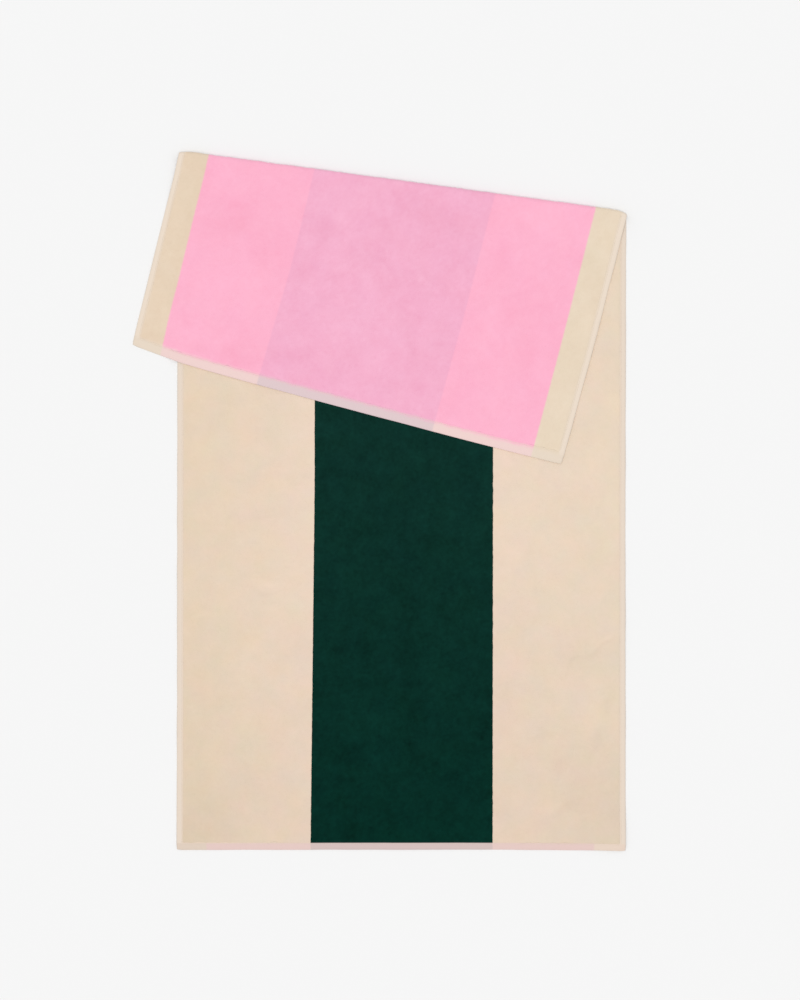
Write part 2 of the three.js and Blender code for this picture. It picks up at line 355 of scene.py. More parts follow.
FRONT_SEED, REVERSE_SEED = 11, 12

# The panel counts as covered to this far outside the flap, and shows fully this much further on
HEM_COVER, COVER_FADE = 0.01, 0.02


def waviness(x, y, seed):
    """The slow unevenness of washed cloth: a sum of sine waves with seeded directions, lengths and phases."""
    draw = np.random.default_rng(seed)
    total = np.zeros(np.broadcast(x, y).shape)
    for _ in range(WAVE_COUNT):
        turn, phase = draw.uniform(0, math.tau, 2)
        length = draw.uniform(WAVE_SHORT, WAVE_LONG)
        total += WAVE_RISE * np.sin(math.tau * (x * math.cos(turn) + y * math.sin(turn)) / length + phase)
    return total


def under_flap(x, y):
    """1 where the flap covers the panel, falling softly to 0 outside its end hem and its right side."""
    past_hem = (flap_left[0] - x) * hem_outward[0] + (flap_left[1] - y) * hem_outward[1]
    side_run = (fold_right - flap_right) / np.linalg.norm(fold_right - flap_right)
    past_side = (x - flap_right[0]) * -side_run[1] + (y - flap_right[1]) * side_run[0]
    return smooth((past_hem + HEM_COVER) / COVER_FADE + 1) * smooth(past_side / COVER_FADE + 1)


def front_relief(plan, stage):
    """How far the front stands proud of its even form: creases and waves where the panel shows."""
    x, y = plan[..., 0], plan[..., 1]
    shows = np.where(stage < 1, 1 - under_flap(x, y), 0)
    return shows * (humps(PANEL_CREASES, x, y) + waviness(x, y, FRONT_SEED))


def reverse_relief(plan, stage):
    """The same for the reverse, which shows round the bend and on the flap."""
    x, y = plan[..., 0], plan[..., 1]
    return smooth(stage - 1) * (humps(FLAP_CREASES, x, y) + waviness(x, y, REVERSE_SEED))


def flat_distance(across, stage):
    """The distance from the near hem along the flat cloth, with each lengthwise thread drawn to 1.4 m."""
    share = across / CLOTH_WIDTH
    panel = PANEL_LENGTH_LEFT + (PANEL_LENGTH_RIGHT - PANEL_LENGTH_LEFT) * share - OUTLINE_RADIUS
    flap = FLAP_LENGTH_LEFT + (FLAP_LENGTH_RIGHT - FLAP_LENGTH_LEFT) * share - OUTLINE_RADIUS
    turn = math.pi * FOLD_RADIUS
    run = np.clip(stage, 0, 1) * panel + np.clip(stage - 1, 0, 1) * turn + np.clip(stage - 2, 0, 1) * flap
    return CLOTH_LENGTH * run / (panel + turn + flap)


# The sheet's pitch and the steps round the bend, and those that follow the rim and the hem's inner edge
PITCH, BEND_STEPS = 0.0080, 14
RIM_STEPS, HEM_LAST_STEP = [0, 0.0003, 0.0011], 0.0006


def hem_steps(hem):
    """Distances from an edge: its rounded rim, its flat hem, and the slope up to the full thickness."""
    flat_part = [0.45 * hem, hem - HEM_LAST_STEP, hem]
    return np.array(RIM_STEPS + flat_part + [hem + 0.5 * HEM_STEP, hem + HEM_STEP])


def spaced(start, end, pitch):
    """Even steps between two distances, both left out."""
    return np.linspace(start, end, max(2, round((end - start) / pitch) + 1))[1:-1]


side_steps, near_steps, far_steps = hem_steps(SIDE_HEM), hem_steps(NEAR_HEM), hem_steps(FAR_HEM)
columns = np.concatenate([
    side_steps,
    spaced(side_steps[-1], CLOTH_WIDTH - side_steps[-1], PITCH),
    CLOTH_WIDTH - side_steps[::-1],
])
rows = np.concatenate([
    near_steps / MEAN_PANEL,
    spaced(near_steps[-1] / MEAN_PANEL, 1, PITCH / MEAN_PANEL),
    1 + np.arange(BEND_STEPS + 1) / BEND_STEPS,
    2 + spaced(0, 1 - far_steps[-1] / MEAN_FLAP, PITCH / MEAN_FLAP),
    3 - far_steps[::-1] / MEAN_FLAP,
])

# The middle of the folded towel's box is brought to the frame's
BOX_MIDDLE = (0.3166, 0.5423)
box_low, box_high = np.array(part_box("towel_cloth"))
TO_FRAME = np.append((box_low + box_high)[:2] / 2 - BOX_MIDDLE, box_low[2])

# The front of the panel and the reverse of the bend and flap lie lower, as ground for the pile there. The
# front comes up to its full height just before the bend, and the reverse goes down early in it.
PILE_SEAT, BEND_SEAT = 0.015, 0.3
across, stage = np.meshgrid(columns, rows)
even, thick = middle(across, stage)
plan, sunk, inside = even[..., :2], np.maximum(thick - HEM_THICK, 0), np.minimum(thick / HEM_THICK, 1)
front_off = thick / 2 - sunk * smooth((1 - stage) / PILE_SEAT) + inside * front_relief(plan, stage)
reverse_off = thick / 2 - sunk * smooth((stage - 1) / BEND_SEAT) + inside * reverse_relief(plan, stage)
front = on_face(across, stage, 1, front_off) + TO_FRAME
reverse = on_face(across, stage, -1, reverse_off) + TO_FRAME
flat = flat_distance(across, stage)

# The reverse follows the front on the cloth map, this far above it. The square map has a margin all round.
REVERSE_OFFSET = 2
BAKE_MARGIN = 0.004


def closed_sheet(name, front, reverse, across, flat):
    """A mesh of two grids of points that share the vertices of their rim.

    Each four-sided face starts at the corner whose diagonal runs in towards the middle, so that no triangle
    has all its corners on the rim. One map holds the place on the flat cloth in metres, and the other fits in
    a square.
    """
    height, width = across.shape
    index = np.arange(height * width).reshape(height, width)
    back = index.copy()
    back[1:-1, 1:-1] = index.size + np.arange((height - 2) * (width - 2)).reshape(height - 2, width - 2)
    quads = np.stack([index[:-1, :-1], index[:-1, 1:], index[1:, 1:], index[1:, :-1]], axis=-1)
    row, column = np.indices(quads.shape[:2])
    turned = (row < height // 2) != (column < width // 2)
    quads = np.where(turned[..., None], np.roll(quads, 1, axis=-1), quads).reshape(-1, 4)
    mirrored = quads[:, [0, 3, 2, 1]]
    mesh = bpy.data.meshes.new(name)
    mesh.from_pydata(
        np.concatenate([front.reshape(-1, 3), reverse[1:-1, 1:-1].reshape(-1, 3)]),
        [],
        np.concatenate([quads, back.ravel()[mirrored]]),
    )
    corners = np.concatenate([quads, mirrored]).ravel()
    on_reverse = np.arange(corners.size) >= corners.size // 2
    at_across, at_flat = across.ravel()[corners], flat.ravel()[corners]
    at_map = np.where(on_reverse, REVERSE_OFFSET + CLOTH_LENGTH - at_flat, at_flat)
    cloth_map = np.stack([at_across, at_map], axis=-1)
    bake_map = BAKE_MARGIN + (1 - 2 * BAKE_MARGIN) * np.stack([
        (at_across / CLOTH_WIDTH) * (0.5 - BAKE_MARGIN) + on_reverse * (0.5 + BAKE_MARGIN),
        at_flat / CLOTH_LENGTH,
    ], axis=-1)
    for map_name, values in (("cloth", cloth_map), ("OFBake", bake_map)):
        mesh.uv_layers.new(name=map_name).data.foreach_set("uv", values.ravel())
    mesh.shade_smooth()
    return mesh


# Where the woven stripe and the bands at the sides lie, and how far the stripe's left border leans
STRIPE_LEFT_NEAR, STRIPE_LEFT, STRIPE_LEAN_END = 0.2088, 0.2142, 0.55
STRIPE_RIGHT, REVERSE_STRIPE_RIGHT = 0.4918, 0.4945
SIDE_BAND, RIGHT_BAND_WIDER = 0.0465, 0.0028

# Towards the far end the reverse's stripe was pulled aside: over this run, this share of it up at the bend
PULLED_RUN, PULLED_AT_BEND = 0.180, 0.15
LEFT_PULLED, RIGHT_PULLED = 0.0095, 0.0045

# How softly each kind of border runs, to either side of it
FRONT_BLUR, REVERSE_BLUR = 0.0004, 0.0017
SIDE_HEM_BLUR, NEAR_HEM_BLUR, FAR_HEM_BLUR = 0.0034, 0.0009, 0.0050
FAR_HEM_ENDS = 0.0145

# The yarns of the front and the reverse, whose creams differ a little from left to right
CREAM, GREEN = "#ddc8b5", "#062b24"
REVERSE_CREAM, REVERSE_CREAM_RIGHT = "#dbc7b0", "#ddccb6"
PINK, MAUVE = "#f1abc3", "#e9a8c2"

# The hems are woven without pile, paler at the sides, and in thinned pinks at the ends
SIDE_HEM_CREAM, REVERSE_SIDE_HEM_CREAM = "#dccdbe", "#e0d1c1"
HEM_CREAM, HEM_PINK, HEM_MAUVE = "#dccdbc", "#e4c9c5", "#d5c0c2"
# The near hem's colours are darker than the far hem's as painted shade, and its cream is lighter on the right
# as painted light where that corner lifts off the floor
NEAR_HEM_SHADED_CREAM, NEAR_HEM_LIT_CREAM_RIGHT = "#d5c4b5", "#dcc9ba"
NEAR_HEM_SHADED_PINK, NEAR_HEM_SHADED_MAUVE = "#dac0ba", "#cab6b3"

# Yarns stray across a border, and tufts of pile hang over the far hem: the size of each, and how far it goes
EDGE_GRAIN, EDGE_RAGGED = 0.0050, 0.0017
TUFT_GRAIN, TUFT_RAGGED = 0.0180, 0.0060


def woven_colours(tree, field=None):
    """The yarn-dyed stripes of both faces and the colours of the hems, read from the place on the flat cloth.

    Gives the place, the colour there, and a mask that is 1 on all hems. A field's own colour, where it is
    given, stands for the stripes.
    """
    place = add(tree, "ShaderNodeUVMap", {}, uv_map="cloth")
    on_width, on_length, _ = add(tree, "ShaderNodeSeparateXYZ", {0: place}).node.outputs
    halfway = (CLOTH_LENGTH + REVERSE_OFFSET) / 2
    on_reverse = add(tree, "ShaderNodeMath", {0: on_length, 1: halfway}, operation="GREATER_THAN")
    along = {0: on_reverse, 1: -REVERSE_OFFSET, 2: on_length}
    along = add(tree, "ShaderNodeMath", along, operation="MULTIPLY_ADD")
    from_end = add(tree, "ShaderNodeMath", {0: along, 1: CLOTH_LENGTH / 2}, operation="PINGPONG")

    # A border strays by up to half of its raggedness each way
    strays = []
    for size, ragged in ((EDGE_GRAIN, EDGE_RAGGED), (TUFT_GRAIN, TUFT_RAGGED)):
        noise = add(tree, "ShaderNodeTexNoise", {"Vector": place, "Scale": 1 / size, "Detail": 2})
        noise = {0: noise, 1: ragged, 2: -ragged / 2}
        strays.append(add(tree, "ShaderNodeMath", noise, operation="MULTIPLY_ADD"))
    across = add(tree, "ShaderNodeMath", {0: on_width, 1: strays[0]}, operation="ADD")
    from_side = add(tree, "ShaderNodeMath", {0: across, 1: CLOTH_WIDTH / 2}, operation="PINGPONG")
    tufted = add(tree, "ShaderNodeMath", {0: from_end, 1: strays[1]}, operation="ADD")

    # The stripe's left border leans a little near the hem, and its right one is further out on the reverse
    lean = {"From Min": 0, "From Max": STRIPE_LEAN_END, "To Min": STRIPE_LEFT_NEAR, "To Max": STRIPE_LEFT}
    left = add(tree, "ShaderNodeMapRange", {"Value": on_length, **lean})
    right = {0: on_reverse, 1: REVERSE_STRIPE_RIGHT - STRIPE_RIGHT, 2: STRIPE_RIGHT}
    right = add(tree, "ShaderNodeMath", right, operation="MULTIPLY_ADD")
    pulled = {"Value": from_end, "From Min": 0, "From Max": PULLED_RUN, "To Min": 1, "To Max": PULLED_AT_BEND}
    pulled = add(tree, "ShaderNodeMapRange", pulled)
    pulled = add(tree, "ShaderNodeMath", {0: pulled, 1: on_reverse}, operation="MULTIPLY")
    left = add(tree, "ShaderNodeMath", {0: pulled, 1: -LEFT_PULLED, 2: left}, operation="MULTIPLY_ADD")
    right = add(tree, "ShaderNodeMath", {0: pulled, 1: -RIGHT_PULLED, 2: right}, operation="MULTIPLY_ADD")
    past_left = add(tree, "ShaderNodeMath", {0: left, 1: across}, operation="SUBTRACT")
    past_right = add(tree, "ShaderNodeMath", {0: across, 1: right}, operation="SUBTRACT")
    outside = add(tree, "ShaderNodeMath", {0: past_left, 1: past_right}, operation="MAXIMUM")
    on_right = add(tree, "ShaderNodeMath", {0: across, 1: CLOTH_WIDTH / 2}, operation="GREATER_THAN")
    band_side = {0: on_right, 1: -RIGHT_BAND_WIDER, 2: from_side}
    band_side = add(tree, "ShaderNodeMath", band_side, operation="MULTIPLY_ADD")
    masks = {}
    for mask, source, edge, blur in (
        ("front stripe", outside, 0, FRONT_BLUR),
        ("reverse stripe", outside, 0, REVERSE_BLUR),
        ("band", band_side, SIDE_BAND, REVERSE_BLUR),
        ("side hem", from_side, SIDE_HEM, SIDE_HEM_BLUR),
        ("near hem", from_end, NEAR_HEM, NEAR_HEM_BLUR),
        ("far hem", tufted, FAR_HEM_ENDS, FAR_HEM_BLUR),
    ):
        limits = {"Value": source, "From Min": edge - blur, "From Max": edge + blur, "To Min": 1, "To Max": 0}
        masks[mask] = add(tree, "ShaderNodeMapRange", limits, interpolation_type="SMOOTHSTEP")
    end_hem = {0: on_reverse, 2: masks["near hem"], 3: masks["far hem"]}
    end_hem = add(tree, "ShaderNodeMix", end_hem, data_type="FLOAT")
    on_hem = add(tree, "ShaderNodeMath", {0: masks["side hem"], 1: end_hem}, operation="MAXIMUM")

    # Each step lays one colour over another where its mask is 1
    laid = {}
    for made, under, over, mask in (
        ("front", linear(CREAM), linear(GREEN), masks["front stripe"]),
        ("pinks", linear(PINK), linear(MAUVE), masks["reverse stripe"]),
        ("creams", linear(REVERSE_CREAM), linear(REVERSE_CREAM_RIGHT), on_right),
        ("back", "pinks", "creams", masks["band"]),
        ("pile", "front", "back", on_reverse),
        ("side", linear(SIDE_HEM_CREAM), linear(REVERSE_SIDE_HEM_CREAM), on_reverse),
        ("far pinks", linear(HEM_PINK), linear(HEM_MAUVE), masks["reverse stripe"]),
        ("far hem", "far pinks", linear(HEM_CREAM), masks["band"]),
        # The near hem's colours carry painted shade, with painted light on the right where its corner lifts
        ("near pinks", linear(NEAR_HEM_SHADED_PINK), linear(NEAR_HEM_SHADED_MAUVE), masks["front stripe"]),
        ("near creams", linear(NEAR_HEM_SHADED_CREAM), linear(NEAR_HEM_LIT_CREAM_RIGHT), on_right),
        ("near hem", "near pinks", "near creams", masks["band"]),
        ("end", "near hem", "far hem", on_reverse),
        ("sided", "pile" if field is None else field, "side", masks["side hem"]),
        ("all", "sided", "end", end_hem),
    ):
        colours = {0: mask}
        for socket, colour in ((6, under), (7, over)):
            colours[socket] = laid[colour] if isinstance(colour, str) else colour
        laid[made] = add(tree, "ShaderNodeMix", colours, 2, data_type="RGBA")
    return place, laid["all"], on_hem


# Loops of the pile, and ribs of the hems, both coarser than the real yarns, to show. At scale 1 the wave
# texture's bands are a twentieth of tau apart.
LOOP_SIZE, LOOP_RISE = 0.0022, 0.00020
RIB_PITCH, RIB_RISE = 0.0024, 0.00008
WAVE_TEXTURE_PITCH = math.tau / 20
SLUB_DEPTH = 0.04


def woven_cotton():
    """Cotton ground cloth: matt, with fine slanting ribs on the hems and dimples of short loops inside."""
    material = bpy.data.materials.new("woven cotton")
    material.use_nodes = True
    tree = material.node_tree
    shader = tree.nodes["Principled BSDF"]
    shader.inputs["Roughness"].default_value = 0.92
    shader.inputs["Specular IOR Level"].default_value = 0
    shader.inputs["Sheen Weight"].default_value = 0.6
    shader.inputs["Sheen Roughness"].default_value = 0.45
    place, colour, on_hem = woven_colours(tree)
    slub = add(tree, "ShaderNodeTexNoise", {"Vector": place, "Scale": 1 / EDGE_GRAIN, "Detail": 4})
    slub = {0: slub, 1: SLUB_DEPTH, 2: 1 - SLUB_DEPTH / 2}
    slub = add(tree, "ShaderNodeMath", slub, operation="MULTIPLY_ADD")
    colour = add(tree, "ShaderNodeVectorMath", {0: colour, "Scale": slub}, operation="SCALE")
    tree.links.new(colour, shader.inputs["Base Color"])
    ribs = {"Vector": place, "Scale": WAVE_TEXTURE_PITCH / RIB_PITCH, "Distortion": 0.6, "Detail": 1}
    ribs = add(tree, "ShaderNodeTexWave", ribs, "Fac", bands_direction="DIAGONAL")
    ribs = add(tree, "ShaderNodeMath", {0: ribs, 1: RIB_RISE}, operation="MULTIPLY")
    loops = add(tree, "ShaderNodeTexVoronoi", {"Vector": place, "Scale": 1 / LOOP_SIZE})
    loops = add(tree, "ShaderNodeMath", {0: loops, 1: LOOP_RISE}, operation="MULTIPLY")
    height = add(tree, "ShaderNodeMix", {0: on_hem, 2: loops, 3: ribs}, data_type="FLOAT")
    bump = add(tree, "ShaderNodeBump", {"Height": height, "Strength": 1, "Distance": 1})
    tree.links.new(bump, shader.inputs["Normal"])
    return material


cloth_mesh = closed_sheet("cloth", front, reverse, across, flat)
cloth_mesh.materials.append(woven_cotton())
cloth = bpy.data.objects.new("cloth", cloth_mesh)
bpy.context.scene.collection.objects.link(cloth)
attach(cloth, "root")
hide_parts("towel_cloth")


# The pile
# Short loops of soft cotton stand on both faces inside the hems, woven in with the ground. The faces that
# show have them as fine relief, a vertex to a loop: three fields on the panel, and one on the flap.
LOOP_PITCH, FLAP_LOOP_PITCH = 0.00156, 0.00176
PILE_RISE = (PILE_THICK - HEM_THICK) / 2

# The run over which the pile rounds down at its ends, how deep its skin goes into the ground below and at
# its rim, and how many loops one step of its hidden bottom spans
PILE_ROUND, PILE_ROOT, PILE_SUNK = 0.0045, 0.0008, 0.00015
BOTTOM_EVERY = 12

# At a hem the rows of loops wander this far, and come straight within this many rows
PILE_END_RAGGED, TAPER_ROWS = 0.0008, 9

# Clumps of loops: the size and rise of each kind, how much more they rise round the bend, and how far from
# it that reaches. They stay flat over this part of the bend, next to the floor, and come up over as much.
CLUMPS = [(0.0010, 0.00009), (0.0021, 0.00008), (0.0065, 0.00008)]
OPEN_AT_BEND, BEND_REACH, FLOOR_CLEAR = 1.2, 0.03, 0.35

# The mauve is woven of two yarns in turn and looks more speckled than the rest
TWO_YARNS = 1.5

# Darker and lighter places on the pile: a broad painted shade towards the near hem, stronger at its
# corners, painted shade in the creases and painted highlights on their ridges, and other darker and lighter
# patches: x, y, half length, half width, turn, shade
PANEL_SHADE_AND_MOTTLE = [
    (0.350, 0.000, 1.100, 0.520, 0, -0.085),
    (0.020, 0.020, 0.150, 0.110, 40, -0.060),
    (0.670, 0.060, 0.160, 0.090, 70, -0.050),
    (0.560, 0.610, 0.400, 0.260, -10, 0.025),
    (0.270, 0.400, 0.090, 0.060, 10, 0.016),
    (0.160, 0.400, 0.110, 0.022, -6, 0.018),
    (0.361, 0.360, 0.370, 0.020, 91.4, -0.100),
    (0.300, 0.480, 0.090, 0.045, 20, -0.060),
    (0.410, 0.470, 0.080, 0.030, -20, -0.070),
    (0.290, 0.190, 0.080, 0.040, 0, 0.070),
    (0.400, 0.270, 0.070, 0.050, 80, 0.060),
    (0.650, 0.308, 0.062, 0.008, 33, -0.045),
    (0.662, 0.322, 0.050, 0.008, 33, 0.025),
    (0.615, 0.283, 0.030, 0.007, 60, -0.030),
    (0.675, 0.228, 0.040, 0.008, 76, -0.045),
    (0.655, 0.170, 0.050, 0.012, 70, -0.035),
    (0.569, 0.178, 0.035, 0.007, 4, -0.030),
    (0.598, 0.130, 0.034, 0.010, 58, -0.045),
    (0.605, 0.060, 0.060, 0.014, 24, -0.045),
    (0.147, 0.416, 0.050, 0.006, -10, 0.035),
    (0.130, 0.403, 0.055, 0.007, -6, -0.035),
    (0.150, 0.375, 0.026, 0.010, -14, 0.035),
    (0.036, 0.366, 0.020, 0.009, 10, 0.035),
    (0.152, 0.586, 0.040, 0.006, -6, 0.025),
    (0.108, 0.262, 0.038, 0.006, -14, 0.025),
    (0.090, 0.690, 0.045, 0.006, 0, 0.020),
]
# On the flap: painted shade along the fold's top edge and in the creases, painted highlights on their ridges
# and where the flap drops over the panel's left side, and other darker and lighter patches
FLAP_SHADE_AND_MOTTLE = [
    (0.091, 0.988, 0.070, 0.060, -10, -0.075),
    (0.135, 0.930, 0.040, 0.055, 0, -0.050),
    (0.066, 0.744, 0.045, 0.014, -16, -0.112),
    (0.100, 0.762, 0.050, 0.022, -16, -0.090),
    (0.050, 0.850, 0.070, 0.040, 70, 0.040),
    (0.129, 0.890, 0.050, 0.030, 0, 0.030),
    (0.250, 1.000, 0.080, 0.040, -8, 0.060),
    (0.236, 0.965, 0.030, 0.026, 0, -0.080),
    (0.307, 0.933, 0.028, 0.011, -41, -0.091),
    (0.330, 0.905, 0.030, 0.010, -60, -0.056),
    (0.400, 0.985, 0.080, 0.045, -20, -0.090),
    (0.348, 1.010, 0.040, 0.008, -70, -0.056),
    (0.376, 0.892, 0.060, 0.010, -43, 0.063),
    (0.366, 0.842, 0.035, 0.010, -56, -0.063),
    (0.351, 0.772, 0.050, 0.007, -76, 0.056),
    (0.375, 0.760, 0.070, 0.030, -76, -0.100),
    (0.268, 0.820, 0.080, 0.055, 0, 0.070),
    (0.310, 0.760, 0.050, 0.030, -30, 0.050),
    (0.181, 0.768, 0.060, 0.032, -10, -0.080),
    (0.202, 0.990, 0.022, 0.012, 10, -0.063),
    (0.253, 0.893, 0.050, 0.008, -4, -0.056),
    (0.401, 1.037, 0.120, 0.014, -7.5, -0.077),
    (0.420, 0.890, 0.050, 0.045, 60, -0.060),
    (0.098, 1.005, 0.030, 0.010, -15, -0.042),
    (0.505, 0.930, 0.055, 0.026, 75, -0.070),
    (0.490, 0.840, 0.050, 0.028, 75, 0.060),
    (0.570, 0.985, 0.060, 0.030, -10, 0.050),
    (0.023, 1.015, 0.060, 0.010, 76, -0.035),
    (0.013, 0.886, 0.080, 0.010, 82, 0.049),
    (-0.023, 0.850, 0.070, 0.014, 76, -0.042),
    (0.030, 1.015, 0.080, 0.040, 80, -0.045),
    (-0.022, 0.865, 0.090, 0.032, 76, 0.035),
    (0.665, 0.985, 0.050, 0.032, 76, -0.030),
]

# How far, and over what run, the borders of those places wander
SHADE_STRAYS, SHADE_STRAY_SIZE = 0.0035, 0.010


def grain(shape, size, draw):
    """Random numbers blurred by a Gaussian, by way of their frequencies, and brought to a spread of one."""
    up, along = np.fft.fftfreq(shape[0])[:, None], np.fft.rfftfreq(shape[1])
    blur = np.exp(-2 * (math.pi * size) ** 2 * (up ** 2 + along ** 2))
    field = np.fft.irfft2(np.fft.rfft2(draw.standard_normal(shape)) * blur, shape)
    return (field - field.mean()) / field.std()


# The waves that a border wanders by, and the seed for those at the ends of the pile
STRAY_COUNT, STRAY_SHORT, STRAY_LONG, END_SEED = 12, 0.007, 0.040, 5


def straying(distance, reach, seed):
    """A border's wandering along its run: a sum of sine waves with seeded lengths and phases."""
    draw = np.random.default_rng(seed)
    lengths = draw.uniform(STRAY_SHORT, STRAY_LONG, STRAY_COUNT)
    phases = draw.uniform(0, math.tau, STRAY_COUNT)
    waves = np.sin(math.tau * distance[..., None] / lengths + phases)
    return reach * waves.sum(-1) / math.sqrt(STRAY_COUNT)


def closed_skin(name, top, bottom, keep, side):
    """A mesh of a fine top grid and a bottom grid of its kept columns only, closed all round.

    The walls at the sides join row to row. At either end one face joins each step of the bottom to the
    columns above it. Gives the mesh, the vertex at each face's corners, and how many faces the top has.
    """
    upper = np.arange(top[..., 0].size).reshape(top.shape[:2])
    lower = upper.size + np.arange(bottom[..., 0].size).reshape(bottom.shape[:2])
    tops = np.stack([upper[:-1, :-1], upper[:-1, 1:], upper[1:, 1:], upper[1:, :-1]], -1).reshape(-1, 4)
    bottoms = np.stack([lower[:-1, :-1], lower[1:, :-1], lower[1:, 1:], lower[:-1, 1:]], -1).reshape(-1, 4)
    left_wall = np.stack([upper[:-1, 0], upper[1:, 0], lower[1:, 0], lower[:-1, 0]], -1)
    right_wall = np.stack([lower[:-1, -1], lower[1:, -1], upper[1:, -1], upper[:-1, -1]], -1)
    faces = np.concatenate([tops, bottoms, left_wall, right_wall]).tolist()
    for i, (a, b) in enumerate(zip(keep[:-1], keep[1:])):
        faces.append([upper[0, a], lower[0, i], lower[0, i + 1], *upper[0, b:a:-1]])
        faces.append([*upper[-1, a:b + 1], lower[-1, i + 1], lower[-1, i]])
    if side < 0:
        faces = [face[::-1] for face in faces]
    mesh = bpy.data.meshes.new(name)
    mesh.from_pydata(np.concatenate([top.reshape(-1, 3), bottom.reshape(-1, 3)]) + TO_FRAME, [], faces)
    mesh.polygons.foreach_set("use_smooth", np.arange(len(faces)) < len(tops))
    return mesh, np.concatenate([np.array(face) for face in faces]), len(tops)


# On the square map of a field its top fills the square down to here, and the rest lies in a strip below that
TOP_FROM, STRIP_TO = 0.030, 0.022


def pile_field(name, borders, outer, stages, side, pitch, relief, shade_and_mottle_table, seed):
    """A closed skin of pile between two borders, given as distances across the cloth at each row.

    Its top stands on the ground at the pile's height, with clumps of loops raised on it, and rounds down to
    the ground at its two ends and at its outer borders. Its bottom is coarse and lies inside the ground. The
    shading run, by which a field's colours mix as painted shade and painted light, goes from 0 at the stripe
    to 1 at the cloth's side, and on the stripe from 0 at the hem up.
    """
    draw = np.random.default_rng(seed)
    left, right = borders
    count = round(float(np.mean(right - left)) / pitch) + 1
    share, row = np.linspace(0, 1, count), np.arange(len(stages))
    across = left[:, None] + (right - left)[:, None] * share
    from_hem = row if side > 0 else row[::-1]
    taper = side * np.clip(1 - from_hem / TAPER_ROWS, 0, 1)[:, None]
    length = MEAN_PANEL if side > 0 else MEAN_FLAP
    stage = stages[:, None] + taper * straying(across, PILE_END_RAGGED, END_SEED) / length

    from_rim = np.minimum(row, row[::-1])[:, None] * np.ones(count)
    if outer[0]:
        from_rim = np.minimum(from_rim, np.arange(count))
    if outer[1]:
        from_rim = np.minimum(from_rim, np.arange(count)[::-1])
    edge = smooth(from_rim * pitch / PILE_ROUND)

    plan = middle(across, stage)[0][..., :2]
    clear = smooth((stage - 1 - FLOOR_CLEAR) / FLOOR_CLEAR) if side < 0 else 1
    opened = OPEN_AT_BEND * smooth(1 - (stage - 2) / BEND_REACH) if side < 0 else 0
    raised, loops = np.zeros(across.shape), np.zeros(across.shape)
    for size, rise in CLUMPS:
        field = grain(across.shape, size / pitch, draw)
        raised += rise * field * clear * (1 + opened)
        loops += field / math.sqrt(len(CLUMPS))
    if side < 0:
        loops = np.where((across > STRIPE_LEFT) & (across < REVERSE_STRIPE_RIGHT), TWO_YARNS * loops, loops)
    # The tables' painted shade and painted light, with other darker and lighter patches, at each loop
    strayed = [plan[..., i] + SHADE_STRAYS * grain(across.shape, SHADE_STRAY_SIZE / pitch, draw) for i in (0, 1)]
    shade_and_mottle = humps(shade_and_mottle_table, *strayed)
    # The share by which a field's two colours mix: painted shade towards the cloth's sides, painted light up
    # the stripe
    shading_run = {(True, False): 1 - share, (False, True): share}.get(outer, stage) + 0 * across
    surface = relief(plan, stage)
    stands = edge * (PILE_RISE + PILE_SUNK + raised) - PILE_SUNK
    top = on_face(across, stage, side, HEM_THICK / 2 + stands + surface)
    keep = np.unique(np.append(np.arange(0, count, BOTTOM_EVERY), count - 1))
    bottom = on_face(across[:, keep], stage[:, keep], side, HEM_THICK / 2 - PILE_ROOT + surface[:, keep])

    mesh, corners, top_faces = closed_skin(name, top, bottom, keep, side)
    flat = flat_distance(across, stage)
    flat = flat if side > 0 else REVERSE_OFFSET + CLOTH_LENGTH - flat
    grids = np.broadcast_arrays(across, flat, share, (row / row[-1])[:, None])
    both = [np.concatenate([grid.ravel(), grid[:, keep].ravel()]) for grid in grids]
    at_across, at_flat, at_share, at_row = (values[corners] for values in both)
    on_top = np.arange(corners.size) < 4 * top_faces
    bake_top = TOP_FROM + (1 - BAKE_MARGIN - TOP_FROM) * at_row
    bake_strip = BAKE_MARGIN + (STRIP_TO - BAKE_MARGIN) * at_row
    bake_share = BAKE_MARGIN + (1 - 2 * BAKE_MARGIN) * at_share
    bake_map = (bake_share, np.where(on_top, bake_top, bake_strip))
    for map_name, values in (("cloth", (at_across, at_flat)), ("OFBake", bake_map)):
        mesh.uv_layers.new(name=map_name).data.foreach_set("uv", np.stack(values, axis=-1).ravel())
    for key, values in (("shade_and_mottle", shade_and_mottle), ("loops", loops), ("shading_run", shading_run)):
        values = np.concatenate([values.ravel(), np.zeros(bottom[..., 0].size)])
        mesh.attributes.new(key, "FLOAT", "POINT").data.foreach_set("value", values)
    return mesh


# The creams at the stripe and at the sides, darker at the sides as painted shade, the green at the hem and
# far up, lighter far up as painted light, and patch sizes of nap and dye
LEFT_CREAMS_LIT_TO_SHADED, RIGHT_CREAMS_LIT_TO_SHADED = ("#dfcab7", "#dac7b0"), ("#dec9b6", "#dccab5")
GREENS_SHADED_TO_LIT = ("#042a22", "#0e2d27")
PATCH_SIZE, DYE_SIZE = 0.090, 0.045


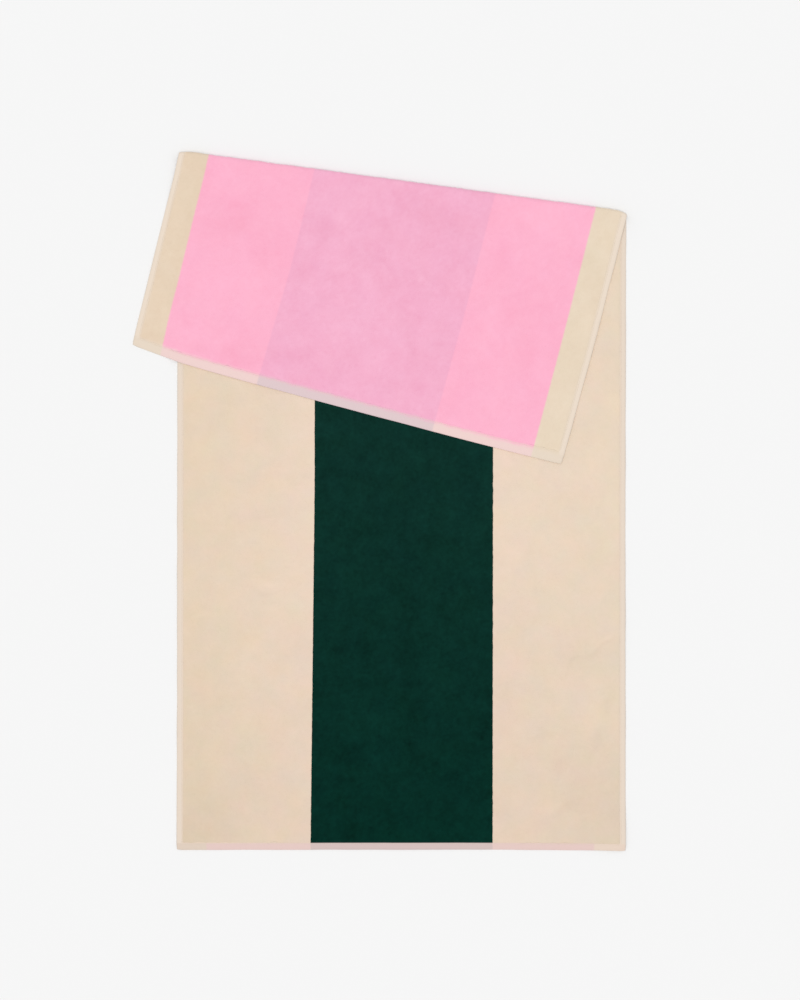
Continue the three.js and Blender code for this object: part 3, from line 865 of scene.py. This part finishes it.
def cotton_pile(name, fields, speck, patch, drift, deepens, sheen):
    """Terry pile of loosely spun cotton: quite matt, soft at its edges, mottled where its loops lean.

    A field's two colours, a lit and a shaded one, are mixed by its shading run as painted light and shade.
    Speck, patch and drift are how much its loops, the places where it leans and its dye differ. The values
    that come with the mesh hold painted shade and painted light as well as darker and lighter patches, and
    where they are low the colour also takes on more of the yarn's own, as painted shade of light that bounces
    between the loops, by as much as deepens says.
    """
    material = bpy.data.materials.new(name)
    material.use_nodes = True
    tree = material.node_tree
    shader = tree.nodes["Principled BSDF"]
    shader.inputs["Roughness"].default_value = 0.97
    shader.inputs["Specular IOR Level"].default_value = 0
    shader.inputs["Sheen Weight"].default_value = sheen
    shader.inputs["Sheen Roughness"].default_value = 0.45
    field = None
    if fields:
        # A field's lit and shaded colours, mixed along its run as painted light and shade
        shading_run = add(tree, "ShaderNodeAttribute", {}, "Fac", attribute_name="shading_run")
        field = {0: shading_run, 6: linear(fields[0]), 7: linear(fields[1])}
        field = add(tree, "ShaderNodeMix", field, 2, data_type="RGBA")
    place, colour, _ = woven_colours(tree, field)
    # Painted shade and painted light, with darker and lighter patches, and the specks of the loops
    shade_and_mottle = add(tree, "ShaderNodeAttribute", {}, "Fac", attribute_name="shade_and_mottle")
    loops = add(tree, "ShaderNodeAttribute", {}, "Fac", attribute_name="loops")
    shade_and_mottle = add(tree, "ShaderNodeMath", {0: loops, 1: speck, 2: shade_and_mottle}, operation="MULTIPLY_ADD")
    patches = {"Vector": place, "Scale": 1 / PATCH_SIZE, "Detail": 5, "Roughness": 0.62, "Distortion": 0.8}
    patches = add(tree, "ShaderNodeTexNoise", patches)
    patches = add(tree, "ShaderNodeMath", {0: patches, 1: patch, 2: -patch / 2}, operation="MULTIPLY_ADD")
    shade_and_mottle = add(tree, "ShaderNodeMath", {0: shade_and_mottle, 1: patches}, operation="ADD")
    # Where those are low, painted shade also deepens the colour towards the yarn's own
    open_share = {0: colour, 1: (-deepens,) * 3, 2: (1, 1, 1)}
    open_share = add(tree, "ShaderNodeVectorMath", open_share, operation="MULTIPLY_ADD")
    shade = add(tree, "ShaderNodeVectorMath", {0: open_share, "Scale": shade_and_mottle}, operation="SCALE")

    # The dye drifts by a very little, each part of it on its own
    dye = {"Vector": place, "Scale": 1 / DYE_SIZE, "Detail": 4, "Roughness": 0.6}
    dye = add(tree, "ShaderNodeTexNoise", dye, "Color")
    dye = {0: dye, 1: (drift, drift / 2, drift), 2: (1 - drift / 2, 1 - drift / 4, 1 - drift / 2)}
    dye = add(tree, "ShaderNodeVectorMath", dye, operation="MULTIPLY_ADD")
    shade = add(tree, "ShaderNodeVectorMath", {0: shade, 1: dye}, operation="ADD")
    colour = add(tree, "ShaderNodeVectorMath", {0: colour, 1: shade}, operation="MULTIPLY")
    tree.links.new(colour, shader.inputs["Base Color"])
    dimples = add(tree, "ShaderNodeTexVoronoi", {"Vector": place, "Scale": 1 / LOOP_SIZE})
    bump = add(tree, "ShaderNodeBump", {"Height": dimples, "Strength": 1, "Distance": LOOP_RISE})
    tree.links.new(bump, shader.inputs["Normal"])
    return material


# The rows of loops on the panel. The two fields that run in under the flap end this far past the level of its
# end hem, and the third goes on up beside the flap.
UNDER_FLAP = 0.088
panel_rows = np.arange(NEAR_HEM, MEAN_PANEL - PILE_ROUND, LOOP_PITCH) / MEAN_PANEL
field_middles = np.array([STRIPE_LEFT, STRIPE_LEFT + STRIPE_RIGHT]) / 2
end_hem_level = flap_left[1] + (flap_right[1] - flap_left[1]) * field_middles / CLOTH_WIDTH
left_rows, stripe_rows = np.searchsorted(panel_rows, (end_hem_level + UNDER_FLAP) / MEAN_PANEL)

# The rows round the bend and down the flap
BEND_ROWS = 8
flap_rows = np.concatenate([
    1 + np.arange(BEND_ROWS) / BEND_ROWS,
    2 + np.arange(0, MEAN_FLAP - FAR_HEM, FLAP_LOOP_PITCH) / MEAN_FLAP,
])

# Where each field meets a hem or its neighbour, row by row
HEM_STRAYS, STRIPE_STRAYS = 0.0003, 0.00015
run, flap_run = panel_rows * MEAN_PANEL, flap_rows * MEAN_FLAP
lean = STRIPE_LEFT_NEAR + (STRIPE_LEFT - STRIPE_LEFT_NEAR) * np.clip(run / STRIPE_LEAN_END, 0, 1)
left_hem = SIDE_HEM + straying(run, HEM_STRAYS, 6)
stripe_left = lean + straying(run, STRIPE_STRAYS, 7)
stripe_right = STRIPE_RIGHT + straying(run, STRIPE_STRAYS, 8)
right_hem = CLOTH_WIDTH - SIDE_HEM + straying(run, HEM_STRAYS, 9)
flap_left_hem = SIDE_HEM + straying(flap_run, HEM_STRAYS, 10)
flap_right_hem = CLOTH_WIDTH - SIDE_HEM + straying(flap_run, HEM_STRAYS, 11)
left_borders = (left_hem[:left_rows], stripe_left[:left_rows])
stripe_borders = (stripe_left[:stripe_rows], stripe_right[:stripe_rows])

cream_looks = {"speck": 0.009, "patch": 0.09, "drift": 0.14, "deepens": 0.5, "sheen": 0.6}
green_looks = {"speck": 0.075, "patch": 0.38, "drift": 0.20, "deepens": 0, "sheen": 0.15}
pink_looks = {"speck": 0.020, "patch": 0.30, "drift": 0.04, "deepens": 0.95, "sheen": 0.8}
left_terry = cotton_pile("cream cotton terry, left", LEFT_CREAMS_LIT_TO_SHADED, **cream_looks)
right_terry = cotton_pile("cream cotton terry, right", RIGHT_CREAMS_LIT_TO_SHADED, **cream_looks)
green_terry = cotton_pile("green cotton terry", GREENS_SHADED_TO_LIT, **green_looks)
pink_terry = cotton_pile("pink cotton terry", None, **pink_looks)
on_panel = (1, LOOP_PITCH, front_relief, PANEL_SHADE_AND_MOTTLE)
on_flap = (-1, FLAP_LOOP_PITCH, reverse_relief, FLAP_SHADE_AND_MOTTLE)
for name, borders, outer, stages, lies, seed, material in (
    ("pile_left", left_borders, (True, False), panel_rows[:left_rows], on_panel, 21, left_terry),
    ("pile_stripe", stripe_borders, (False, False), panel_rows[:stripe_rows], on_panel, 22, green_terry),
    ("pile_right", (stripe_right, right_hem), (False, True), panel_rows, on_panel, 23, right_terry),
    ("pile_flap", (flap_left_hem, flap_right_hem), (True, True), flap_rows, on_flap, 24, pink_terry),
):
    mesh = pile_field(name, borders, outer, stages, *lies, seed)
    mesh.materials.append(material)
    part = bpy.data.objects.new(name, mesh)
    bpy.context.scene.collection.objects.link(part)
    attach(part, "root")
    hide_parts("towel_cloth")


# The stitching
# One row of lock stitches in cream cotton thread runs near the inner edge of every hem and holds it down.
# Each stitch shows as a short raised oval, pulled half into the cloth at both its ends.
STITCH_PITCH, STITCH_LENGTH, STITCH_WIDE, STITCH_HIGH = 0.0032, 0.0027, 0.0006, 0.0004
STITCH_INSET, STITCH_TAPER, STITCH_SIDES = 0.0014, 0.2, 6
THREAD_CREAM = "#dccdbc"

# From this share of cover on, the flap hides a stitch
HIDDEN = 0.99


def stitch_row(across, stage, side):
    """The corners of a row of stitches, from the places of its needle holes on one face of the cloth.

    A stitch has two tips and two rings of corners between them. A corner is so far along, aside and up, and
    its last number is how much of the bulge of the cloth between the tips it follows: at the share s of the
    way that is 4 s (1 - s). Stitches that the flap covers are left out.
    """
    points = middle(across, stage)[0]
    relief = front_relief(points[..., :2], stage) if side > 0 else reverse_relief(points[..., :2], stage)
    holes = on_face(across, stage, side, HEM_THICK / 2 + relief)
    above = on_face(across, stage, side, HEM_THICK / 2 + relief + STITCH_HIGH)
    halfway = [(values[1:] + values[:-1]) / 2 for values in (across, stage, HEM_THICK / 2 + relief)]
    arch = on_face(halfway[0], halfway[1], side, halfway[2]) - (holes[1:] + holes[:-1]) / 2
    along = (holes[1:] - holes[:-1]) * STITCH_LENGTH / STITCH_PITCH
    up = (above - holes)[:-1]
    aside = np.cross(along, up)
    aside *= STITCH_WIDE / 2 / np.linalg.norm(aside, axis=-1, keepdims=True)
    turns = math.tau * np.arange(STITCH_SIDES) / STITCH_SIDES
    ends = (STITCH_TAPER, 1 - STITCH_TAPER)
    rings = [(at, math.cos(turn), math.sin(turn) / 2) for at in ends for turn in turns]
    shape = np.array([(0, 0, 0), *rings, (1, 0, 0)])
    shape = np.column_stack([shape, 4 * shape[:, 0] * (1 - shape[:, 0])])
    steps = np.stack([along, aside, up, arch], axis=1)
    corners = holes[:-1, None] + np.einsum("pk,nkx->npx", shape, steps)
    return corners[under_flap(corners[:, 0, 0], corners[:, 0, 1]) < HIDDEN] if side > 0 else corners


def cotton_thread():
    """Spun cotton sewing thread: one colour and matt, a little smoother than the cloth."""
    material = bpy.data.materials.new("cotton thread")
    material.use_nodes = True
    shader = material.node_tree.nodes["Principled BSDF"]
    shader.inputs["Base Color"].default_value = linear(THREAD_CREAM)
    shader.inputs["Roughness"].default_value = 0.8
    shader.inputs["Specular IOR Level"].default_value = 0.2
    shader.inputs["Sheen Weight"].default_value = 0.3
    return material


side_line = SIDE_HEM - STITCH_INSET
bend_run = math.pi * FOLD_RADIUS
across_run = np.arange(side_line, CLOTH_WIDTH - side_line, STITCH_PITCH)
panel_run = np.arange(NEAR_HEM, MEAN_PANEL, STITCH_PITCH) / MEAN_PANEL
round_run = np.arange(bend_run / 2, bend_run + MEAN_FLAP - FAR_HEM, STITCH_PITCH)
round_run = np.where(round_run < bend_run, 1 + round_run / bend_run, 2 + (round_run - bend_run) / MEAN_FLAP)
near_line = 0 * across_run + (NEAR_HEM - STITCH_INSET) / MEAN_PANEL
far_line = 0 * across_run + 3 - (FAR_HEM - STITCH_INSET) / MEAN_FLAP
sewn = np.concatenate([
    stitch_row(across_run, near_line, 1),
    stitch_row(across_run, far_line, -1),
    stitch_row(side_line + 0 * panel_run, panel_run, 1),
    stitch_row(CLOTH_WIDTH - side_line + 0 * panel_run, panel_run, 1),
    stitch_row(side_line + 0 * round_run, round_run, -1),
    stitch_row(CLOTH_WIDTH - side_line + 0 * round_run, round_run, -1),
]) + TO_FRAME


def stitch_faces():
    """The faces of one stitch: a fan at its first tip, a band between its rings, and a fan at its last."""
    ring = 1 + np.arange(STITCH_SIDES)
    pairs = list(zip(ring, np.roll(ring, -1)))
    last = 1 + 2 * STITCH_SIDES
    first_fan = [(0, a, b) for a, b in pairs]
    band = [(a, STITCH_SIDES + a, STITCH_SIDES + b, b) for a, b in pairs]
    last_fan = [(last, STITCH_SIDES + b, STITCH_SIDES + a) for a, b in pairs]
    return first_fan + band + last_fan


one_stitch, stitch_corners = stitch_faces(), sewn.shape[1]
stitch_mesh = bpy.data.meshes.new("stitching")
stitch_mesh.from_pydata(
    sewn.reshape(-1, 3),
    [],
    [[corner + stitch_corners * i for corner in face] for i in range(len(sewn)) for face in one_stitch],
)
stitch_mesh.shade_smooth()
stitch_mesh.materials.append(cotton_thread())
stitching = bpy.data.objects.new("stitching", stitch_mesh)
bpy.context.scene.collection.objects.link(stitching)
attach(stitching, "root")
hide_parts("towel_cloth")
